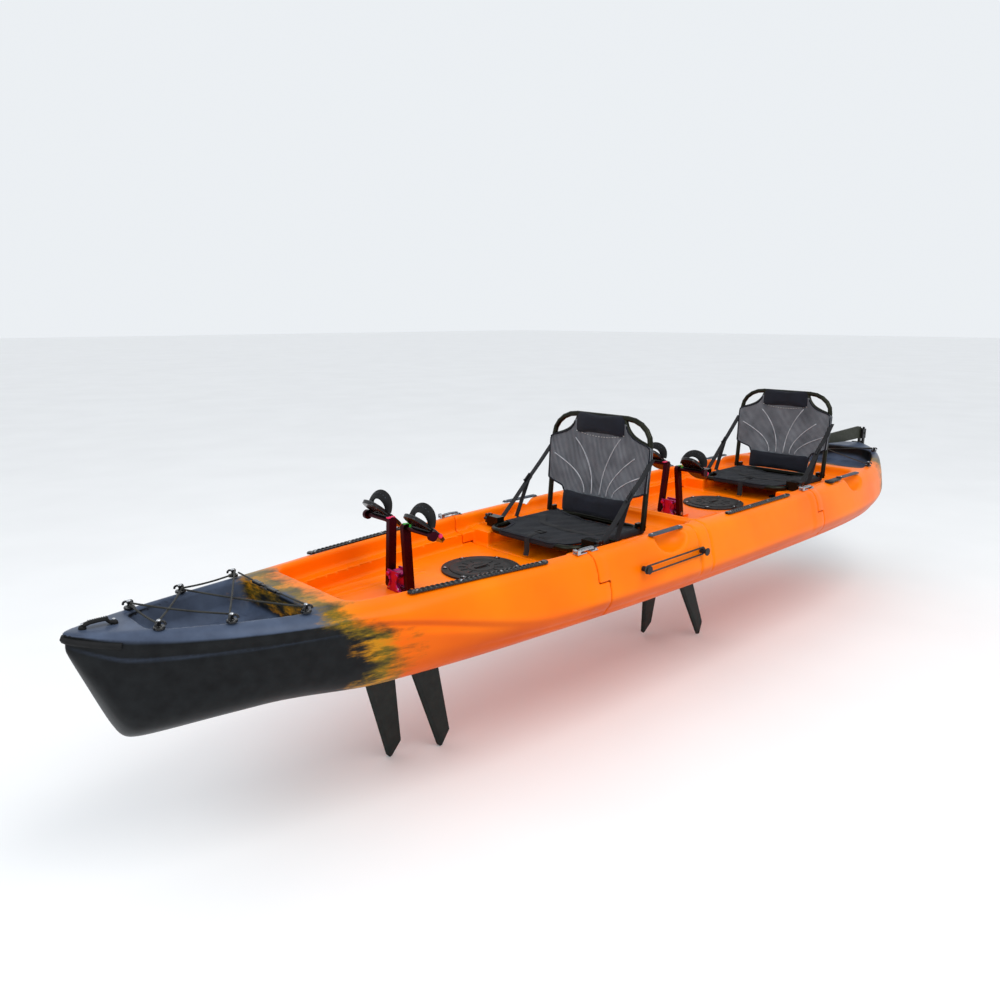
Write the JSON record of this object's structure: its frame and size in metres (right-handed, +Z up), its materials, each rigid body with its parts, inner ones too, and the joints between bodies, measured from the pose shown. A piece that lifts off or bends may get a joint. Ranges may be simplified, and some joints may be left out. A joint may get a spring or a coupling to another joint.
{
  "type": "pedal kayak",
  "caption": "Tandem sit-on-top kayak in plug-together hull modules, with folding mesh seats, swinging pedal arms that drive under-hull fins, deck hatches and a lift-up rudder.",
  "frame": {"origin": "on the centreline at the flat of the keel, midway between the two hull seams", "axes": "+X towards the bow, +Y to port, +Z up"},
  "size_m": [4.298, 0.8872, 1.0277],
  "materials": {
    "hull_black": "satin",
    "hull_orange": "satin",
    "hull_fade": "satin",
    "latch_steel": "brushed",
    "track_black": "semi gloss",
    "hook_black": "satin",
    "handle_rubber": "matte",
    "grip_grey": "ribbed",
    "screw_steel": "bright",
    "shock_cord": "braided",
    "hatch_black": "textured",
    "shaft_steel": "bright",
    "base_anodised": "anodised",
    "frame_plastic": "satin",
    "arm_anodised": "anodised",
    "pedal_plastic": "satin",
    "foot_webbing": "woven",
    "mast_steel": "bright",
    "fin_rubber": "matte",
    "seat_tube": "satin",
    "sling_fabric": "woven",
    "mesh_fabric": "mesh",
    "seat_webbing": "woven",
    "knob_plastic": "gloss",
    "rudder_metal": "satin",
    "rudder_plastic": "satin",
    "lever_plastic": "satin"
  },
  "bodies": {
    "hull": {"bow_hull": "hull_black", "mid_hull": "hull_orange", "stern_hull": "hull_fade", "latch_bases": "latch_steel", "gear_tracks": "track_black", "deck_hooks": "hook_black", "bow_handle": "handle_rubber", "side_grips": "grip_grey", "deck_screws": "screw_steel", "deck_bungees": "shock_cord", "paddle_bungees": "shock_cord", "paddle_buttons": "hook_black", "hatch_rings": "hatch_black", "drain_plug": "hook_black", "crank_shafts": "shaft_steel", "rudder_bracket": "rudder_metal", "front_drive_base": "base_anodised", "front_drive_frame": "frame_plastic", "front_seat_frame": "seat_tube", "front_seat_sling": "sling_fabric", "front_seat_straps": "seat_webbing", "rear_drive_base": "base_anodised", "rear_drive_frame": "frame_plastic", "rear_seat_frame": "seat_tube", "rear_seat_sling": "sling_fabric", "rear_seat_straps": "seat_webbing"},
    "front_arm_port": {"front_arm_port": "arm_anodised"},
    "front_pedal_port": {"front_pedal_port": "pedal_plastic", "front_foot_strap_port": "foot_webbing"},
    "front_arm_stbd": {"front_arm_stbd": "arm_anodised"},
    "front_pedal_stbd": {"front_pedal_stbd": "pedal_plastic", "front_foot_strap_stbd": "foot_webbing"},
    "front_fore_mast": {"front_fore_mast": "mast_steel"},
    "front_fore_fin": {"front_fore_fin": "fin_rubber"},
    "front_aft_mast": {"front_aft_mast": "mast_steel"},
    "front_aft_fin": {"front_aft_fin": "fin_rubber"},
    "front_hatch_lid": {"front_hatch_lid": "hatch_black"},
    "front_back": {"front_back_frame": "seat_tube", "front_back_panel": "mesh_fabric"},
    "front_knobs": {"front_seat_knobs": "knob_plastic"},
    "rear_arm_port": {"rear_arm_port": "arm_anodised"},
    "rear_pedal_port": {"rear_pedal_port": "pedal_plastic", "rear_foot_strap_port": "foot_webbing"},
    "rear_arm_stbd": {"rear_arm_stbd": "arm_anodised"},
    "rear_pedal_stbd": {"rear_pedal_stbd": "pedal_plastic", "rear_foot_strap_stbd": "foot_webbing"},
    "rear_fore_mast": {"rear_fore_mast": "mast_steel"},
    "rear_fore_fin": {"rear_fore_fin": "fin_rubber"},
    "rear_aft_mast": {"rear_aft_mast": "mast_steel"},
    "rear_aft_fin": {"rear_aft_fin": "fin_rubber"},
    "rear_hatch_lid": {"rear_hatch_lid": "hatch_black"},
    "rear_back": {"rear_back_frame": "seat_tube", "rear_back_panel": "mesh_fabric"},
    "rear_knobs": {"rear_seat_knobs": "knob_plastic"},
    "latch_fore": {"latch_levers_fore": "latch_steel"},
    "latch_aft": {"latch_levers_aft": "latch_steel"},
    "rudder_head": {"rudder_head": "rudder_metal"},
    "rudder_blade": {"rudder_blade": "rudder_plastic"},
    "steering_lever": {"steering_lever": "lever_plastic"}
  },
  "joints": [
    {"name": "front_arm_port_swing", "type": "hinge", "parent": "hull", "child": "front_arm_port", "pos_m": [1.202, 0, 0.2], "axis": [0, 1, 0], "range_deg": [-25, 19]},
    {"name": "front_pedal_port_tilt", "type": "hinge", "parent": "front_arm_port", "child": "front_pedal_port", "pos_m": [1.21221, 0.118, 0.39473], "axis": [0, 1, 0], "range_deg": [-25, 25]},
    {"name": "front_arm_stbd_swing", "type": "hinge", "parent": "hull", "child": "front_arm_stbd", "pos_m": [1.202, 0, 0.2], "axis": [0, 1, 0], "range_deg": [-19, 25]},
    {"name": "front_pedal_stbd_tilt", "type": "hinge", "parent": "front_arm_stbd", "child": "front_pedal_stbd", "pos_m": [1.19179, -0.118, 0.39473], "axis": [0, 1, 0], "range_deg": [-25, 25]},
    {"name": "front_fore_mast_sweep", "type": "hinge", "parent": "hull", "child": "front_fore_mast", "pos_m": [1.352, 0, 0.012], "axis": [1, 0, 0], "range_deg": [-28.5, 37.5]},
    {"name": "front_fore_fin_feather", "type": "hinge", "parent": "front_fore_mast", "child": "front_fore_fin", "pos_m": [1.352, 0, 0.012], "axis": [0.2924, 0.075, 0.9534], "range_deg": [-14, 14]},
    {"name": "front_aft_mast_sweep", "type": "hinge", "parent": "hull", "child": "front_aft_mast", "pos_m": [1.192, 0, 0.012], "axis": [1, 0, 0], "range_deg": [-37.5, 28.5]},
    {"name": "front_aft_fin_feather", "type": "hinge", "parent": "front_aft_mast", "child": "front_aft_fin", "pos_m": [1.192, 0, 0.012], "axis": [0.2924, -0.075, 0.9534], "range_deg": [-14, 14]},
    {"name": "front_hatch_twist", "type": "hinge", "parent": "hull", "child": "front_hatch_lid", "pos_m": [0.865, 0, 0.18], "axis": [0, 0, 1], "range_deg": [0, 45]},
    {"name": "front_back_fold", "type": "hinge", "parent": "hull", "child": "front_back", "pos_m": [0.279, 0, 0.2653], "axis": [0, 1, 0], "range_deg": [-8, 64], "deforming": ["front_seat_straps"]},
    {"name": "front_knob_turn", "type": "hinge", "parent": "hull", "child": "front_knobs", "pos_m": [0.575, 0, 0.2603], "axis": [0, 1, 0], "continuous": true},
    {"name": "rear_arm_port_swing", "type": "hinge", "parent": "hull", "child": "rear_arm_port", "pos_m": [-0.228, 0, 0.2], "axis": [0, 1, 0], "range_deg": [-31, 13]},
    {"name": "rear_pedal_port_tilt", "type": "hinge", "parent": "rear_arm_port", "child": "rear_pedal_port", "pos_m": [-0.1975, 0.118, 0.3926], "axis": [0, 1, 0], "range_deg": [-25, 25]},
    {"name": "rear_arm_stbd_swing", "type": "hinge", "parent": "hull", "child": "rear_arm_stbd", "pos_m": [-0.228, 0, 0.2], "axis": [0, 1, 0], "range_deg": [-13, 31]},
    {"name": "rear_pedal_stbd_tilt", "type": "hinge", "parent": "rear_arm_stbd", "child": "rear_pedal_stbd", "pos_m": [-0.2585, -0.118, 0.3926], "axis": [0, 1, 0], "range_deg": [-25, 25]},
    {"name": "rear_fore_mast_sweep", "type": "hinge", "parent": "hull", "child": "rear_fore_mast", "pos_m": [-0.078, 0, 0.012], "axis": [1, 0, 0], "range_deg": [-19.5, 46.5]},
    {"name": "rear_fore_fin_feather", "type": "hinge", "parent": "rear_fore_mast", "child": "rear_fore_fin", "pos_m": [-0.078, 0, 0.012], "axis": [0.2924, 0.2232, 0.9299], "range_deg": [-14, 14]},
    {"name": "rear_aft_mast_sweep", "type": "hinge", "parent": "hull", "child": "rear_aft_mast", "pos_m": [-0.238, 0, 0.012], "axis": [1, 0, 0], "range_deg": [-46.5, 19.5]},
    {"name": "rear_aft_fin_feather", "type": "hinge", "parent": "rear_aft_mast", "child": "rear_aft_fin", "pos_m": [-0.238, 0, 0.012], "axis": [0.2924, -0.2232, 0.9299], "range_deg": [-14, 14]},
    {"name": "rear_hatch_twist", "type": "hinge", "parent": "hull", "child": "rear_hatch_lid", "pos_m": [-0.565, 0, 0.18], "axis": [0, 0, 1], "range_deg": [0, 45]},
    {"name": "rear_back_fold", "type": "hinge", "parent": "hull", "child": "rear_back", "pos_m": [-1.151, 0, 0.2653], "axis": [0, 1, 0], "range_deg": [-8, 64], "deforming": ["rear_seat_straps"]},
    {"name": "rear_knob_turn", "type": "hinge", "parent": "hull", "child": "rear_knobs", "pos_m": [-0.855, 0, 0.2603], "axis": [0, 1, 0], "continuous": true},
    {"name": "latch_fore_lift", "type": "hinge", "parent": "hull", "child": "latch_fore", "pos_m": [0.76, 0, 0.29], "axis": [0, 1, 0], "range_deg": [0, 100]},
    {"name": "latch_aft_lift", "type": "hinge", "parent": "hull", "child": "latch_aft", "pos_m": [-0.67, 0, 0.29], "axis": [0, 1, 0], "range_deg": [0, 100]},
    {"name": "rudder_steer", "type": "hinge", "parent": "hull", "child": "rudder_head", "pos_m": [-2.102, 0, 0.28], "axis": [0, 0, 1], "range_deg": [-40, 40]},
    {"name": "blade_flip", "type": "hinge", "parent": "rudder_head", "child": "rudder_blade", "pos_m": [-2.126, 0, 0.352], "axis": [0, -1, 0], "range_deg": [0, 200]},
    {"name": "lever_turn", "type": "hinge", "parent": "hull", "child": "steering_lever", "pos_m": [-0.93, 0.36472, 0.28], "axis": [0, 0, 1], "range_deg": [-32, 32]}
  ],
  "couplings": [
    {"joint": "front_arm_stbd_swing", "follows": "front_arm_port_swing", "ratio": -1},
    {"joint": "front_fore_mast_sweep", "follows": "front_arm_port_swing", "ratio": -1.5},
    {"joint": "front_aft_mast_sweep", "follows": "front_arm_port_swing", "ratio": 1.5},
    {"joint": "rear_arm_stbd_swing", "follows": "rear_arm_port_swing", "ratio": -1},
    {"joint": "rear_fore_mast_sweep", "follows": "rear_arm_port_swing", "ratio": -1.5},
    {"joint": "rear_aft_mast_sweep", "follows": "rear_arm_port_swing", "ratio": 1.5},
    {"joint": "rudder_steer", "follows": "lever_turn", "ratio": 1.25}
  ]
}
